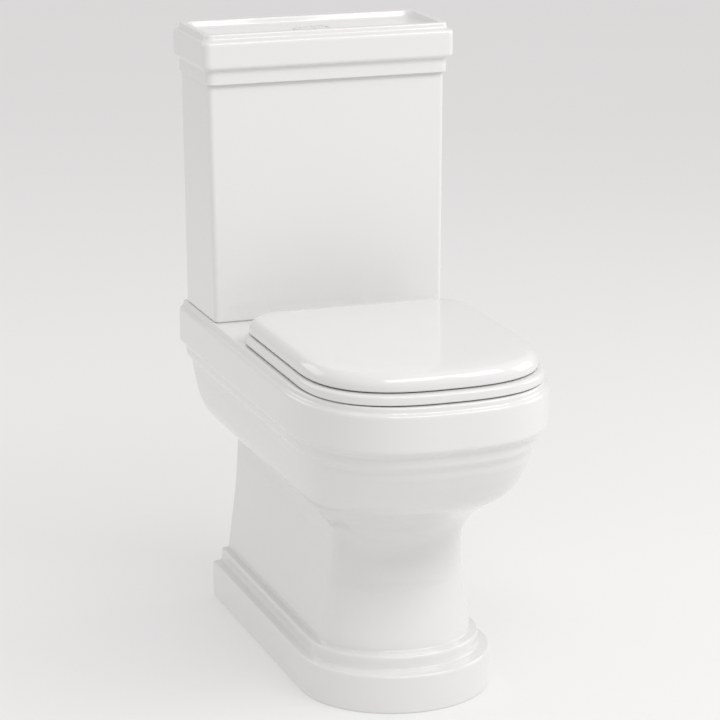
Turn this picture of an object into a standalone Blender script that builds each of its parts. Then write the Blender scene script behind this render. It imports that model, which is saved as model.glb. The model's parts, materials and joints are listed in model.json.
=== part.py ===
"""Close coupled toilet: floor-standing pan, cistern with its valves, lid with flush buttons, seat and cover.

Metres, +Z up, +X to the right of someone who faces the toilet's front, +Y towards the wall behind it.
The origin is on the floor, below the middle of the whole object.
"""

import math

import bmesh
import bpy
from mathutils import Matrix, Vector

# ---------------------------------------------------------------- driving dimensions, in metres

DEPTH = 0.653            # wall to the pan's front edge
WALL_Y = DEPTH / 2       # the plane of the wall
GAP = 0.0003             # clearance between touching pieces

# pan
PAN_HALF = 0.178         # half width of the rim band
PAN_SIDE_END = 0.450     # where its straight sides end, from the wall
SHELF_Z = 0.456          # top of the shelf and the rim
BAND_TOP = 0.446
BAND_LOW = 0.396
BOWL_TOP = 0.352         # where the bowl's outside starts to curve in, below the mouldings
CREASE_Z = 0.247         # sharp line where the bowl's underside meets the pedestal's cove
CREASE_HALF = 0.098
SHAFT_TOP_HALF = 0.092
SHAFT_FOOT_HALF = 0.107
TIER_HALF = 0.119
PLINTH_HALF = 0.1325
PLINTH_Z = 0.053
TIER_Z = 0.072
WALL_THICK = 0.012       # china wall
FRONT_POWER = 2.65       # superellipse power of the rim's rounded front

# bowl and its way out
RIM_HALF = 0.134         # half width of the opening in the rim
BOWL_MID = 0.425         # middle of the opening, from the wall
BOWL_HALF_LENGTH = 0.170
RIM_DEPTH = 0.028        # height of the rim's inner lip
SPIGOT_Z = 0.180         # height of the outlet's axis
BORE = 0.041             # radius of the trap's waterway
SHELL = 0.011            # thickness of the bowl
SADDLE = 0.001           # room left round the bowl where other parts of the pan meet it
PLATE_Z = 0.442          # underside of the shelf and the rim's top plate
INLET_R = 0.032          # radius of the hole the flush comes in by
TRAP_OUTER = 0.051       # radius of the trap's outside
TRAP_START = 0.335       # where the trap leaves the bowl, from the wall
SPIGOT_END = 0.030       # where its outlet ends, from the wall
PAST_TRAP = (0.352, 0.015)           # ends of the cutter for its waterway
DUCT_BACK = (0.290, 0.046)           # front and back of the flush duct, from the wall
DUCT_Z = (0.396, 0.432)
DUCT_HALF = 0.036

# cistern
CISTERN_FOOT = (0.1695, 0.1507)      # half width and front, from the wall, at the bottom
CISTERN_HEAD = (0.1735, 0.1443)      # the same at the top
CISTERN_BACK = 0.0084
CISTERN_TOP = 0.792
CISTERN_FLOOR = (0.481, 0.493)       # under and upper side of its floor
CISTERN_WALL = 0.010

# cistern lid: half width, back and front from the wall
LID_LOW_BAND = (0.177, 0.005, 0.1515)
LID_BAND = (0.1835, 0.0, 0.1603)
LID_RIM = (0.1774, 0.0113, 0.1485)
LID_LOW_TOP = 0.814
LID_BAND_TOP = 0.8527
LID_TOP = 0.862
TRAY_Z = 0.852

# places of the fittings, from the wall
VALVE_BACK = 0.082       # flush valve, button and coupling bolts
BOLT_X = 0.075
FILL_X = -0.118
WALL_HOLE_X = 0.110      # screw holes through the cistern's back
WALL_HOLE_Z = 0.750
WALL_HOLE_R = 0.0045
BOLT_HOLE_R = 0.0055
FILL_HOLE_R = 0.0107
SUPPLY_HOLE_R = 0.021    # in the shelf, room for the fill valve's backnut
SHELF_CUT = (0.41, 0.47) # heights a drill runs through the shelf
FLOOR_CUT = (0.47, 0.50) # and through the cistern's floor
HINGE_X = 0.078
HINGE_BACK = 0.226
HINGE_Z = 0.473

# flush valve
TAIL_R = 0.029           # threaded outlet through the cistern's floor
CAGE_R = 0.034
CAGE_TOP = 0.600
TUBE_R = 0.013
TUBE_TOP = 0.742
TUBE_BORE = 0.0105

# fill valve
RISER_TOP = 0.702
CUP_Z = (0.610, 0.682)   # foot and top of the float

# flush button
BEZEL_R = 0.028
SLEEVE_R = 0.0205
BUTTON_R = 0.0188
BUTTON_TOP = 0.8545
LID_UNDER = 0.841        # underside of the lid's top
SLEEVE_FOOT = 0.822
ROD_X = 0.010            # places of the two push rods
ROD_FOOT = 0.770         # their lower ends

# seat
RING_HALF = 0.165
RING_FRONT = 0.641
RING_BACK = 0.244
RING_Z = (0.4600, 0.4703)
COVER_HALF = 0.160
COVER_FRONT = 0.630
COVER_BACK = 0.246
COVER_Z = (0.4712, 0.4960)
COVER_THICK = 0.007      # thickness of the cover's top
BARREL_R = 0.0075        # hinge barrels
PIN_R = 0.004
PIN_BORE = 0.0043
KNUCKLE_STEP = 0.0175    # from a post's eye to the knuckle beside it
KNUCKLE_HALF = 0.0085

WHITE_CHINA = (0.93, 0.93, 0.925)
WHITE_SEAT = (0.94, 0.94, 0.935)
WHITE_PLASTIC = (0.88, 0.89, 0.90)
GREY_PLASTIC = (0.62, 0.64, 0.66)
BLUE_PLASTIC = (0.25, 0.42, 0.66)
RUBBER = (0.06, 0.06, 0.065)
BUFFER_GREY = (0.80, 0.80, 0.79)
CHROME = (0.80, 0.81, 0.82)
STEEL = (0.62, 0.62, 0.61)
BRASS = (0.72, 0.56, 0.28)


def clear_scene():
    for thing in list(bpy.data.objects):
        bpy.data.objects.remove(thing, do_unlink=True)


def from_wall(distance):
    return WALL_Y - distance


# ---------------------------------------------------------------- materials

def material(name, colour, roughness, metallic=0.0, coat=0.0):
    made = bpy.data.materials.new(name)
    made.use_nodes = True
    shader = made.node_tree.nodes["Principled BSDF"]
    shader.inputs["Base Color"].default_value = (*colour, 1.0)
    shader.inputs["Roughness"].default_value = roughness
    shader.inputs["Metallic"].default_value = metallic
    shader.inputs["Coat Weight"].default_value = coat
    made.diffuse_color = (*colour, 1.0)
    return made


def china(name):
    return material(name + "_glaze", WHITE_CHINA, 0.08, coat=0.5)


def seat_plastic(name):
    return material(name + "_gloss", WHITE_SEAT, 0.12, coat=0.3)


def plastic(name, colour=WHITE_PLASTIC):
    return material(name + "_plastic", colour, 0.35)


def rubber(name, colour=RUBBER):
    return material(name + "_rubber", colour, 0.8)


def metal(name, colour, roughness=0.15):
    return material(name + "_metal", colour, roughness, metallic=1.0)


# ---------------------------------------------------------------- mesh helpers

def finish_mesh(name, mesh_data, look, sharp_degrees=35.0):
    """Turn a bmesh into a named object with outward normals."""
    bmesh.ops.recalc_face_normals(mesh_data, faces=mesh_data.faces)
    mesh = bpy.data.meshes.new(name)
    mesh_data.to_mesh(mesh)
    mesh_data.free()
    mesh.shade_smooth()
    mesh.set_sharp_from_angle(angle=math.radians(sharp_degrees))
    made = bpy.data.objects.new(name, mesh)
    bpy.context.scene.collection.objects.link(made)
    if look is not None:
        mesh.materials.append(look)
    return made


def loft(rings, closed=False):
    """Skin a list of rings that have the same number of points. Open lofts get flat caps."""
    mesh_data = bmesh.new()
    rows = [[mesh_data.verts.new(point) for point in ring] for ring in rings]
    pairs = list(zip(rows, rows[1:]))
    if closed:
        pairs.append((rows[-1], rows[0]))
    for low, high in pairs:
        count = len(low)
        for i in range(count):
            mesh_data.faces.new((low[i], low[(i + 1) % count], high[(i + 1) % count], high[i]))
    if not closed:
        mesh_data.faces.new(rows[0])
        mesh_data.faces.new(rows[-1])
    return mesh_data


def circle(radius, z, sides=20):
    return [Vector((radius * math.cos(a), radius * math.sin(a), z))
            for a in (math.tau * i / sides for i in range(sides))]


def turned(name, profile, place, look, sides=20, closed=True):
    """A turned piece on a vertical axis. A closed profile is a ring's, an open one makes flat ends."""
    made = finish_mesh(name, loft([circle(r, z, sides) for r, z in profile], closed), look)
    made.location = place
    return made


def turned_sideways(name, profile, place, look, sides=16, closed=False):
    """A turned piece whose axis runs along X."""
    made = turned(name, profile, place, look, sides, closed)
    made.data.transform(Matrix.Rotation(math.pi / 2, 4, "Y"))
    return made


def block(name, low, high, look=None, bevel=0.0):
    """A box between two corners, with its edges bevelled if asked."""
    mesh_data = bmesh.new()
    bmesh.ops.create_cube(mesh_data, size=1.0)
    size = Vector(high) - Vector(low)
    middle = (Vector(high) + Vector(low)) / 2
    for vert in mesh_data.verts:
        vert.co = Vector(a * b for a, b in zip(vert.co, size))
    if bevel > 0:
        bmesh.ops.bevel(mesh_data, geom=mesh_data.edges[:], offset=bevel, segments=2, profile=0.5,
                        affect="EDGES")
    made = finish_mesh(name, mesh_data, look)
    made.location = middle
    return made


def boolean(target, other, operation):
    """Cut a helper from the target, or join it on. The helper stays as a hidden guide."""
    step = target.modifiers.new(operation.lower() + "_" + other.name, "BOOLEAN")
    step.object = other
    step.operation = operation
    step.solver = "EXACT"
    other.hide_render = True
    other.display_type = "WIRE"


def cut(target, *others):
    for other in others:
        boolean(target, other, "DIFFERENCE")


def join(target, *others):
    for other in others:
        boolean(target, other, "UNION")


def drill(target, name, radius, x, back, low, high, sides=20):
    """A vertical round hole."""
    place = (x, from_wall(back), 0)
    cut(target, turned(name, [(radius, low), (radius, high)], place, None, sides, closed=False))


def flat_sided_nut(name, sides, outer, bore, low, high, place, look, bore_sides=24):
    """A nut with flats and a round bore, on a vertical axis."""
    made = turned(name, [(outer, low), (outer, high)], place, look, sides, closed=False)
    past = [(bore, low - 0.01), (bore, high + 0.01)]
    cut(made, turned(name + "_bore", past, place, None, bore_sides, closed=False))
    return made


def carry(name, place, *pieces):
    """An empty on a joint's axis that carries the pieces which move about it."""
    axis = bpy.data.objects.new(name, None)
    axis.location = place
    bpy.context.scene.collection.objects.link(axis)
    for piece in pieces:
        piece.parent = axis
        piece.matrix_parent_inverse = Matrix.Translation(-Vector(place))


# ---------------------------------------------------------------- plan outlines

def dee(half, side_end, front, z, power=FRONT_POWER, back=0.0, steps=12, drop=0.0):
    """Straight sides out from the wall, then a rounded front. Distances are from the wall.

    drop lowers the outline towards the front, in metres per metre.
    """
    right = []
    for i in range(steps + 1):
        turn = math.pi / 2 * i / steps
        x = half * math.cos(turn) ** (2 / power) if i < steps else 0.0
        reach = side_end + (front - side_end) * math.sin(turn) ** (2 / power)
        right.append((x, reach))
    plan = [(half, back)] + right
    left = [(-x, reach) for x, reach in reversed(plan[:-1])]
    return [Vector((x, from_wall(reach), z - drop * max(reach, 0.0))) for x, reach in plan + left]


def rounded_rectangle(half, back, front, z, radius, steps=3):
    """A rectangle in plan with round corners; back and front are distances from the wall."""
    points = []
    corners = ((half, back, 0), (half, front, 1), (-half, front, 2), (-half, back, 3))
    for x, reach, quarter in corners:
        side = 1 if x > 0 else -1
        inward = 1 if reach == back else -1
        centre_x = x - side * radius
        centre_y = from_wall(reach + inward * radius)
        for i in range(steps + 1):
            turn = math.pi / 2 - math.pi / 2 * (quarter + i / steps)
            points.append(Vector((centre_x + radius * math.cos(turn), centre_y + radius * math.sin(turn), z)))
    return points


def egg(half, middle, half_length, z, power=2.2, sides=32):
    """The bowl's plan outline, a superellipse about a middle at a distance from the wall."""
    points = []
    for i in range(sides):
        turn = math.tau * i / sides
        c, s = math.cos(turn), math.sin(turn)
        x = half * math.copysign(abs(c) ** (2 / power), c)
        y = half_length * math.copysign(abs(s) ** (2 / power), s)
        points.append(Vector((x, from_wall(middle) + y, z)))
    return points


# ---------------------------------------------------------------- pan

def bowl_outside():
    """(half width, z) down the bowl's side: an arc that turns 45 degrees, then a straight slope."""
    radius = 0.106
    top_half = PAN_HALF - 0.020
    steps = 6
    arc = []
    for i in range(steps + 1):
        turn = math.radians(45) * i / steps
        arc.append((top_half - radius * (1 - math.cos(turn)), BOWL_TOP - radius * math.sin(turn)))
    return arc + [(CREASE_HALF, CREASE_Z)]


def pan_outside_rings():
    """The pan's outside, from the floor up."""
    rings = [
        dee(PLINTH_HALF - 0.002, 0.415, 0.540, 0.0, 2.0),
        dee(PLINTH_HALF, 0.415, 0.542, 0.003, 2.0),
        dee(PLINTH_HALF, 0.415, 0.542, PLINTH_Z - 0.005, 2.0),
        dee(PLINTH_HALF - 0.004, 0.415, 0.538, PLINTH_Z, 2.0),
        dee(TIER_HALF + 0.001, 0.410, 0.521, PLINTH_Z + 0.003, 2.0),
        dee(TIER_HALF, 0.410, 0.518, TIER_Z - 0.005, 2.0),
        dee(TIER_HALF - 0.004, 0.410, 0.513, TIER_Z, 2.0),
        dee(SHAFT_FOOT_HALF + 0.003, 0.410, 0.504, TIER_Z + 0.002, 2.0),
        dee(SHAFT_FOOT_HALF, 0.411, 0.500, TIER_Z + 0.012, 2.0),
        dee(SHAFT_TOP_HALF + 0.004, 0.418, 0.487, 0.170, 2.0),
        dee(SHAFT_TOP_HALF, 0.420, 0.482, 0.237, 2.05, drop=0.055),
    ]
    cove_height = 0.010
    for i in range(1, 4):
        turn = math.pi / 2 * i / 4
        share = 1 - math.cos(turn)
        rings.append(dee(SHAFT_TOP_HALF + share * 0.006, 0.420 + 0.010 * share, 0.482 + 0.026 * share,
                         0.237 + cove_height * math.sin(turn), 2.1, drop=0.055 * (1 - math.sin(turn))))
    for half, z in reversed(bowl_outside()):
        share = (half - CREASE_HALF) / (PAN_HALF - 0.020 - CREASE_HALF)
        front = 0.506 + 0.125 * share ** 1.4
        rings.append(dee(half, 0.420 + 0.030 * share, front, z, 2.1 + 0.55 * share ** 2))
    mouldings = (
        (0.016, 0.366), (0.0115, 0.373), (0.0105, 0.3745), (0.0085, 0.388),
        (0.001, BAND_LOW), (0.0, BAND_LOW + 0.002), (0.0, BAND_TOP - 0.003),
        (0.0015, BAND_TOP - 0.0005), (0.0045, BAND_TOP + 0.001), (0.0060, BAND_TOP + 0.004),
        (0.0070, SHELF_Z - 0.0020), (0.0095, SHELF_Z),
    )
    for inset, z in mouldings:
        rings.append(dee(PAN_HALF - inset, PAN_SIDE_END, DEPTH - inset, z))
    return rings


def pan_inside_rings():
    """The hollow below the shelf and inside the pedestal, open to the floor and the wall."""
    past_wall = -0.02
    rows = (
        (SHAFT_FOOT_HALF - WALL_THICK, 0.405, 0.488, -0.01),
        (SHAFT_FOOT_HALF - WALL_THICK, 0.405, 0.488, TIER_Z),
        (SHAFT_TOP_HALF - WALL_THICK, 0.400, 0.468, 0.200),
        (SHAFT_TOP_HALF - WALL_THICK, 0.400, 0.468, 0.245),
        (0.128, 0.440, 0.545, 0.297),
        (0.144, 0.460, 0.598, 0.345),
        (0.154, 0.470, 0.616, 0.380),
        (0.163, 0.480, 0.636, 0.400),
        (0.163, 0.480, 0.636, PLATE_Z),
    )
    return [dee(half, end, front, z, 2.2, past_wall) for half, end, front, z in rows]


def bowl_rows(grow):
    """(half width, middle, half length, z) down the bowl, made bigger all round by grow."""
    rows = (
        (RIM_HALF + 0.008, BOWL_MID, BOWL_HALF_LENGTH + 0.008, SHELF_Z - RIM_DEPTH - 0.006),
        (RIM_HALF + 0.006, BOWL_MID, BOWL_HALF_LENGTH + 0.006, 0.385),
        (0.126, 0.422, 0.160, 0.335),
        (0.104, 0.408, 0.138, 0.295),
        (0.076, 0.388, 0.106, 0.255),
        (0.057, 0.366, 0.078, 0.220),
        (0.047, 0.346, 0.055, 0.180),
        (0.036, 0.338, 0.038, 0.150),
    )
    floor = rows[-1][3]
    return [(half + grow, middle, length + grow, z - (grow if z == floor else 0.0))
            for half, middle, length, z in rows]


def bowl_solid(name, grow):
    """The bowl's cavity, with the narrower rim opening on top, or the shell around it."""
    rows = bowl_rows(grow)
    rings = [egg(*row) for row in reversed(rows)]
    if grow:
        half, middle, length, _ = rows[0]
        rings.append(egg(half, middle, length, PLATE_Z - SHELL + grow - GAP))
    else:
        rings.append(egg(RIM_HALF + 0.003, BOWL_MID, BOWL_HALF_LENGTH + 0.003, SHELF_Z - RIM_DEPTH))
        rings.append(egg(RIM_HALF, BOWL_MID, BOWL_HALF_LENGTH, SHELF_Z - RIM_DEPTH + 0.006))
        rings.append(egg(RIM_HALF, BOWL_MID, BOWL_HALF_LENGTH, SHELF_Z - 0.006))
        rings.append(egg(RIM_HALF + 0.006, BOWL_MID, BOWL_HALF_LENGTH + 0.006, SHELF_Z + 0.0005))
        rings.append(egg(RIM_HALF + 0.006, BOWL_MID, BOWL_HALF_LENGTH + 0.006, SHELF_Z + 0.01))
    return finish_mesh(name, loft(rings), None)


def trap_route(start_back, end_back):
    """(distance from the wall, z) down the middle of the trap: sump, up over the weir, down to the outlet."""
    controls = [Vector(pair) for pair in (
        (start_back, 0.192), (0.300, 0.170), (0.262, 0.176), (0.228, 0.214), (0.192, 0.226),
        (0.156, 0.206), (0.124, 0.184), (0.090, SPIGOT_Z), (end_back, SPIGOT_Z))]
    last = len(controls) - 1
    points = []
    for i in range(last):
        before, here = controls[max(i - 1, 0)], controls[i]
        there, after = controls[i + 1], controls[min(i + 2, last)]
        for t in (0.0, 0.5):
            bend = (2 * before - 5 * here + 4 * there - after) * t ** 2
            twist = (3 * here - before - 3 * there + after) * t ** 3
            points.append(0.5 * (2 * here + (there - before) * t + bend + twist))
    points.append(controls[last])
    return points


def trap_solid(name, radius, start_back, end_back, sides=20):
    """A round tube swept along the trap's route, square to it at each point."""
    route = trap_route(start_back, end_back)
    rings = []
    for i, (back, z) in enumerate(route):
        ahead = route[min(i + 1, len(route) - 1)] - route[max(i - 1, 0)]
        if i == len(route) - 1:
            ahead = Vector((-1, 0))
        upright = Vector((0, ahead.y, ahead.x)).normalized()
        centre = Vector((0, from_wall(back), z))
        ring = []
        for k in range(sides):
            turn = math.tau * k / sides
            ring.append(centre + radius * (math.cos(turn) * Vector((1, 0, 0)) + math.sin(turn) * upright))
        rings.append(ring)
    return finish_mesh(name, loft(rings), None)


def make_pan_body():
    """The outer skin of the pan with its rim and shelf. It is hollow, and open to the floor and the wall."""
    body = finish_mesh("pan_body", loft(pan_outside_rings()), china("pan_body"))
    cut(body, finish_mesh("pan_hollow", loft(pan_inside_rings()), None))
    cut(body, bowl_solid("bowl_seat", SHELL + SADDLE), bowl_solid("rim_opening", 0.0))
    drill(body, "inlet_hole", INLET_R, 0, VALVE_BACK, *SHELF_CUT, 24)
    for side, label in ((-1, "left"), (1, "right")):
        drill(body, "shelf_bolt_hole_" + label, BOLT_HOLE_R, side * BOLT_X, VALVE_BACK, *SHELF_CUT, 12)
        drill(body, "hinge_hole_" + label, BOLT_HOLE_R, side * HINGE_X, HINGE_BACK, *SHELF_CUT, 12)
    drill(body, "supply_hole", SUPPLY_HOLE_R, FILL_X, VALVE_BACK, *SHELF_CUT, 16)


def inlet_duct(name):
    front, back = DUCT_BACK
    low, high = DUCT_Z
    return block(name, (-DUCT_HALF, from_wall(front), low), (DUCT_HALF, from_wall(back), high))


def make_pan_bowl():
    bowl = bowl_solid("pan_bowl", SHELL)
    bowl.data.materials.append(china("pan_bowl"))
    cut(bowl, bowl_solid("bowl_cavity", 0.0), trap_solid("bowl_outlet", BORE, *PAST_TRAP))
    cut(bowl, inlet_duct("bowl_inlet"))


def make_pan_trap():
    trap = trap_solid("pan_trap", TRAP_OUTER, TRAP_START, SPIGOT_END)
    trap.data.materials.append(china("pan_trap"))
    cut(trap, bowl_solid("trap_saddle", SHELL + SADDLE), trap_solid("trap_bore", BORE, *PAST_TRAP))


def make_pan_inlet():
    """The box below the shelf that leads the flush from the cistern to the bowl."""
    wall = 0.012
    front, back = DUCT_BACK
    low = (-DUCT_HALF - wall, from_wall(front + 0.010), DUCT_Z[0] - SHELL)
    high = (DUCT_HALF + wall, from_wall(back - 0.016), PLATE_Z - GAP)
    inlet = block("pan_inlet", low, high, china("pan_inlet"))
    cut(inlet, bowl_solid("inlet_saddle", SHELL + SADDLE), inlet_duct("inlet_duct"))
    drill(inlet, "inlet_mouth", INLET_R, 0, VALVE_BACK, *SHELF_CUT, 24)


# ---------------------------------------------------------------- cistern and its lid

def make_cistern():
    foot_half, foot_front = CISTERN_FOOT
    head_half, head_front = CISTERN_HEAD
    low = SHELF_Z + GAP
    corner = 0.007
    outside = [
        rounded_rectangle(foot_half - 0.0015, CISTERN_BACK, foot_front - 0.0015, low, corner),
        rounded_rectangle(foot_half, CISTERN_BACK, foot_front, low + 0.002, corner),
        rounded_rectangle(head_half, CISTERN_BACK, head_front, CISTERN_TOP - 0.001, corner),
        rounded_rectangle(head_half - 0.001, CISTERN_BACK, head_front - 0.001, CISTERN_TOP, corner),
    ]
    cistern = finish_mesh("cistern", loft(outside), china("cistern"))
    under, floor = CISTERN_FLOOR
    wall = CISTERN_WALL
    back = CISTERN_BACK + wall
    inside = [
        rounded_rectangle(foot_half - wall, back, foot_front - wall, floor, 0.009),
        rounded_rectangle(head_half - wall, back, head_front - wall, CISTERN_TOP + 0.01, 0.009),
    ]
    recess = [
        rounded_rectangle(foot_half - wall, back, foot_front - wall, SHELF_Z - 0.01, 0.009),
        rounded_rectangle(foot_half - wall, back, foot_front - wall, under, 0.009),
    ]
    cut(cistern, finish_mesh("cistern_inside", loft(inside), None))
    cut(cistern, finish_mesh("cistern_recess", loft(recess), None))
    drill(cistern, "outlet_hole", TAIL_R + 0.0006, 0, VALVE_BACK, *FLOOR_CUT, 24)
    drill(cistern, "fill_hole", FILL_HOLE_R, FILL_X, VALVE_BACK, *FLOOR_CUT, 16)
    for side, label in ((-1, "left"), (1, "right")):
        drill(cistern, "cistern_bolt_hole_" + label, BOLT_HOLE_R, side * BOLT_X, VALVE_BACK, *FLOOR_CUT, 12)
        wall_hole = turned("wall_hole_" + label, [(WALL_HOLE_R, -0.02), (WALL_HOLE_R, 0.02)],
                           (side * WALL_HOLE_X, from_wall(CISTERN_BACK), WALL_HOLE_Z), None, 12, closed=False)
        wall_hole.data.transform(Matrix.Rotation(math.pi / 2, 4, "X"))
        cut(cistern, wall_hole)
    return cistern


def make_cistern_lid():
    def band(part, inset, z, radius=0.006):
        half, back, front = part
        return rounded_rectangle(half - inset, back + min(inset, 0.002), front - inset, z, radius)

    base = CISTERN_TOP + GAP
    outside = [
        band(LID_LOW_BAND, 0.001, base),
        band(LID_LOW_BAND, 0.0, base + 0.001),
        band(LID_LOW_BAND, 0.0, LID_LOW_TOP - 0.003),
        band(LID_LOW_BAND, -0.001, LID_LOW_TOP - 0.001),
        band(LID_BAND, 0.003, LID_LOW_TOP),
        band(LID_BAND, 0.0, LID_LOW_TOP + 0.003),
        band(LID_BAND, 0.0, LID_BAND_TOP - 0.005),
        band(LID_BAND, 0.0012, LID_BAND_TOP - 0.0015),
        band(LID_BAND, 0.0045, LID_BAND_TOP),
        band(LID_RIM, 0.0, LID_BAND_TOP + 0.0025),
        band(LID_RIM, 0.0, LID_TOP - 0.002),
        band(LID_RIM, 0.002, LID_TOP),
    ]
    lid = finish_mesh("cistern_lid", loft(outside), china("cistern_lid"))
    tray = [
        band(LID_RIM, 0.020, TRAY_Z, 0.010),
        band(LID_RIM, 0.014, TRAY_Z + 0.003, 0.010),
        band(LID_RIM, 0.009, LID_TOP - 0.001, 0.010),
        band(LID_RIM, 0.008, LID_TOP + 0.01, 0.010),
    ]
    tray = [[Vector((p.x, min(p.y, from_wall(0.020)), p.z)) for p in ring] for ring in tray]
    cut(lid, finish_mesh("lid_tray", loft(tray), None))
    lip = [rounded_rectangle(half, 0.0215, front, z, 0.008) for half, front, z in (
        (0.1585, 0.1305, CISTERN_TOP - 0.009), (0.1590, 0.1310, CISTERN_TOP - 0.007),
        (0.1590, 0.1310, CISTERN_TOP + 0.006))]
    join(lid, finish_mesh("lid_lip", loft(lip), None))
    hollow = [rounded_rectangle(0.150, 0.030, 0.1225, z, 0.008) for z in (CISTERN_TOP - 0.02, LID_UNDER)]
    cut(lid, finish_mesh("lid_hollow", loft(hollow), None))
    drill(lid, "button_hole", SLEEVE_R + 0.0015, 0, VALVE_BACK, LID_UNDER - 0.01, LID_TOP + 0.01, 24)
    return lid


# ---------------------------------------------------------------- coupling of cistern and pan

def make_gasket():
    low, high = SHELF_Z + GAP, CISTERN_FLOOR[0] - GAP
    profile = [(0.0385, low), (0.050, low), (0.0535, low + 0.006), (0.0535, high - 0.004), (0.051, high),
               (0.0385, high)]
    turned("coupling_gasket", profile, (0, from_wall(VALVE_BACK), 0), rubber("coupling_gasket"), 24)


def make_coupling_bolt(side, label):
    """Bolt with its head and seal inside the cistern, and its washer and wing nut below the shelf."""
    place = (side * BOLT_X, from_wall(VALVE_BACK), 0)
    floor = CISTERN_FLOOR[1]
    washer = [(0.0045, floor + GAP), (0.012, floor + GAP), (0.012, floor + 0.0035), (0.0045, floor + 0.0035)]
    turned("bolt_seal_" + label, washer, place, rubber("bolt_seal_" + label), 12)
    head = floor + 0.0038
    bolt = [(0.0036, 0.412), (0.004, 0.414), (0.004, head), (0.0095, head), (0.0095, head + 0.003),
            (0.005, head + 0.0055)]
    turned("coupling_bolt_" + label, bolt, place, metal("coupling_bolt_" + label, BRASS, 0.3), 12,
           closed=False)
    top = PLATE_Z - GAP
    plate = [(0.0045, top - 0.002), (0.013, top - 0.002), (0.013, top), (0.0045, top)]
    turned("bolt_washer_" + label, plate, place, metal("bolt_washer_" + label, STEEL, 0.35), 12)
    nut_top = top - 0.0023
    wings = turned("wing_nut_" + label, [(0.0085, nut_top - 0.011), (0.0095, nut_top)], place,
                   metal("wing_nut_" + label, BRASS, 0.3), 12, closed=False)
    blade = block("wing_blade_" + label, (-0.019, -0.0015, nut_top - 0.014), (0.019, 0.0015, nut_top - 0.002))
    blade.location.x += place[0]
    blade.location.y += place[1]
    join(wings, blade)
    drill(wings, "wing_bore_" + label, 0.0043, place[0], VALVE_BACK, nut_top - 0.03, nut_top + 0.01, 12)


# ---------------------------------------------------------------- flush valve

def make_flush_valve():
    place = (0, from_wall(VALVE_BACK), 0)
    floor = CISTERN_FLOOR[1]
    seat_z = floor + 0.0095
    tail = [
        (0.0245, 0.440), (TAIL_R - 0.001, 0.440), (TAIL_R, 0.442), (TAIL_R, floor + 0.0035),
        (0.038, floor + 0.0035), (0.038, seat_z - 0.002), (0.028, seat_z), (0.0245, seat_z),
    ]
    body = turned("flush_valve_body", tail, place, plastic("flush_valve_body"), 24)
    crown = [(TUBE_R + 0.0015, CAGE_TOP), (CAGE_R, CAGE_TOP), (CAGE_R, CAGE_TOP + 0.006),
             (TUBE_R + 0.0015, CAGE_TOP + 0.006)]
    join(body, turned("cage_crown", crown, place, None, 24))
    for i in range(4):
        turn = math.pi / 4 + math.pi / 2 * i
        post = block(f"cage_post_{i}", (-0.003, -0.003, floor + 0.005), (0.003, 0.003, CAGE_TOP + 0.004))
        post.location.x += place[0] + (CAGE_R - 0.0031) * math.cos(turn)
        post.location.y += place[1] + (CAGE_R - 0.0031) * math.sin(turn)
        join(body, post)
    low = floor + GAP
    seal = [(TAIL_R + GAP, low), (0.039, low), (0.039, low + 0.0029), (TAIL_R + GAP, low + 0.0029)]
    turned("flush_valve_washer", seal, place, rubber("flush_valve_washer"), 24)
    under = CISTERN_FLOOR[0] - GAP
    flat_sided_nut("flush_valve_backnut", 8, 0.0375, TAIL_R + GAP, under - 0.010, under, place,
                   plastic("flush_valve_backnut"))
    disc = seat_z + GAP
    tube = [
        (TUBE_BORE, disc + 0.0033), (0.0265, disc + 0.0033), (0.0265, disc + 0.007),
        (TUBE_R, disc + 0.012), (TUBE_R, TUBE_TOP - 0.004), (TUBE_R + 0.002, TUBE_TOP),
        (TUBE_BORE + 0.001, TUBE_TOP), (TUBE_BORE, TUBE_TOP - 0.004),
    ]
    turned("overflow_tube", tube, place, plastic("overflow_tube", BLUE_PLASTIC), 20)
    ring = [(TUBE_BORE, disc), (0.027, disc), (0.027, disc + 0.003), (TUBE_BORE, disc + 0.003)]
    turned("flush_seal", ring, place, rubber("flush_seal"), 20)


# ---------------------------------------------------------------- flush buttons

def half_moon(name, side, low, high, look):
    """One half of the split button, with its flat edge towards the middle."""
    radius = BUTTON_R
    start = 0.0005
    steps = 12
    limit = math.acos(start / radius)
    rings = []
    for z, shrink in ((low, 0.0), (high - 0.0012, 0.0), (high - 0.0003, 0.0005), (high, 0.0013)):
        ring = []
        for i in range(steps + 1):
            turn = -limit + 2 * limit * i / steps
            x = max((radius - shrink) * math.cos(turn), start + shrink)
            ring.append(Vector((side * x, (radius - shrink) * math.sin(turn), z)))
        rings.append(ring)
    made = finish_mesh(name, loft(rings), look)
    made.location = (0, from_wall(VALVE_BACK), 0)
    return made


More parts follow.
